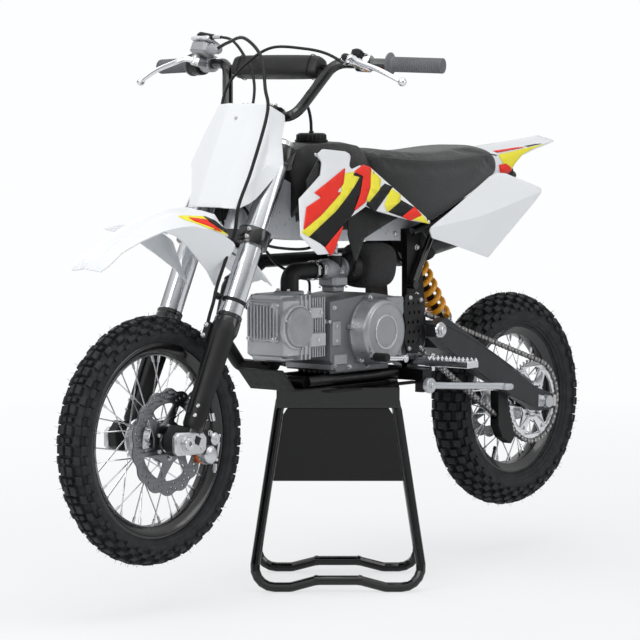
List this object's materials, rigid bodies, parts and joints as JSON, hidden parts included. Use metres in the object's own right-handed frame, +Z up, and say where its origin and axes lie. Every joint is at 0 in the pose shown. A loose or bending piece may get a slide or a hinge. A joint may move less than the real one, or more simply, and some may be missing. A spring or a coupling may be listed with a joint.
{
  "type": "dirt bike on a paddock stand",
  "caption": "Small off-road motorcycle with knobby tyres, steering fork, disc brakes and a chain drive, held on a tubular paddock stand.",
  "frame": {"origin": "middle of the bounding box at floor level, where the stand rests", "axes": "+X to the rider's left, +Y to the rear, +Z up; the front wheel points along -Y"},
  "size_m": [0.7528, 1.6357, 1.1374],
  "materials": {
    "black_paint": "satin black paint",
    "bright_alloy": "machined and polished",
    "bright_steel": "polished plating",
    "cast_alloy": "bead-blasted casting",
    "chain_steel": "oiled steel",
    "disc_steel": "ground finish",
    "exhaust_black": "heat-proof black",
    "foam": "open-cell foam",
    "fork_alloy": "satin anodised",
    "gloss_red": "moulded gloss plastic with colour patches",
    "gloss_white": "moulded gloss plastic",
    "grey_paint": "dark grey paint",
    "grip_rubber": "soft ribbed rubber",
    "hose_rubber": "smooth rubber",
    "matte_black": "moulded matt plastic",
    "pad_cover": "woven cover over foam",
    "seat_cover": "grained cover over foam",
    "silver_paint": "silver paint",
    "spring_gold": "gold paint",
    "stand_paint": "gloss black paint",
    "tyre_rubber": "moulded tread rubber"
  },
  "bodies": {
    "chassis": {"main_frame": "silver_paint", "subframe": "black_paint", "engine_case": "cast_alloy", "cylinder_head": "cast_alloy", "engine_covers": "cast_alloy", "exhaust_pipe": "exhaust_black", "silencer": "exhaust_black", "carburettor": "cast_alloy", "air_filter": "foam", "fuel_tank": "matte_black", "fuel_cap": "matte_black", "seat": "seat_cover", "left_shroud": "gloss_red", "right_shroud": "gloss_red", "left_side_panel": "gloss_white", "right_side_panel": "gloss_white", "rear_fender": "gloss_white", "swingarm": "grey_paint", "rear_axle": "bright_steel", "shock_absorber": "black_paint", "shock_spring": "spring_gold", "chain": "chain_steel", "chain_guide": "matte_black", "throttle_cable_lower": "hose_rubber", "clutch_cable_lower": "hose_rubber", "skid_plate": "grey_paint", "footpegs": "silver_paint", "foot_controls": "bright_steel", "rear_caliper": "bright_alloy", "stand_loops": "stand_paint", "stand_top": "stand_paint", "stand_panel": "stand_paint"},
    "steering": {"triple_clamps": "black_paint", "fork_tubes": "fork_alloy", "fork_legs": "matte_black", "front_fender": "gloss_white", "number_plate": "gloss_white", "handlebar": "black_paint", "bar_pad": "pad_cover", "grips": "grip_rubber", "clutch_lever": "bright_alloy", "brake_lever": "bright_alloy", "front_caliper": "bright_alloy", "front_brake_hose": "hose_rubber", "throttle_cable": "hose_rubber", "clutch_cable": "hose_rubber", "front_axle": "bright_steel"},
    "front_wheel": {"front_tyre": "tyre_rubber", "front_rim": "black_paint", "front_hub": "bright_alloy", "front_disc": "disc_steel"},
    "rear_wheel": {"rear_tyre": "tyre_rubber", "rear_rim": "black_paint", "rear_hub": "bright_alloy", "rear_disc": "disc_steel", "rear_sprocket": "bright_alloy"},
    "side_stand": {"side_stand": "silver_paint"}
  },
  "joints": [
    {"name": "steering_head", "type": "hinge", "parent": "chassis", "child": "steering", "pos_m": [0, -0.52726, 0.3202], "axis": [0, 0.4384, 0.8988], "range_deg": [-40, 40]},
    {"name": "front_wheel_spin", "type": "hinge", "parent": "steering", "child": "front_wheel", "pos_m": [0, -0.574, 0.343], "axis": [1, 0, 0], "continuous": true},
    {"name": "rear_wheel_spin", "type": "hinge", "parent": "chassis", "child": "rear_wheel", "pos_m": [0, 0.584, 0.341], "axis": [1, 0, 0], "continuous": true},
    {"name": "side_stand_hinge", "type": "hinge", "parent": "chassis", "child": "side_stand", "pos_m": [0.126, 0.147, 0.407], "axis": [-1, 0, 0], "range_deg": [0, 100]}
  ]
}
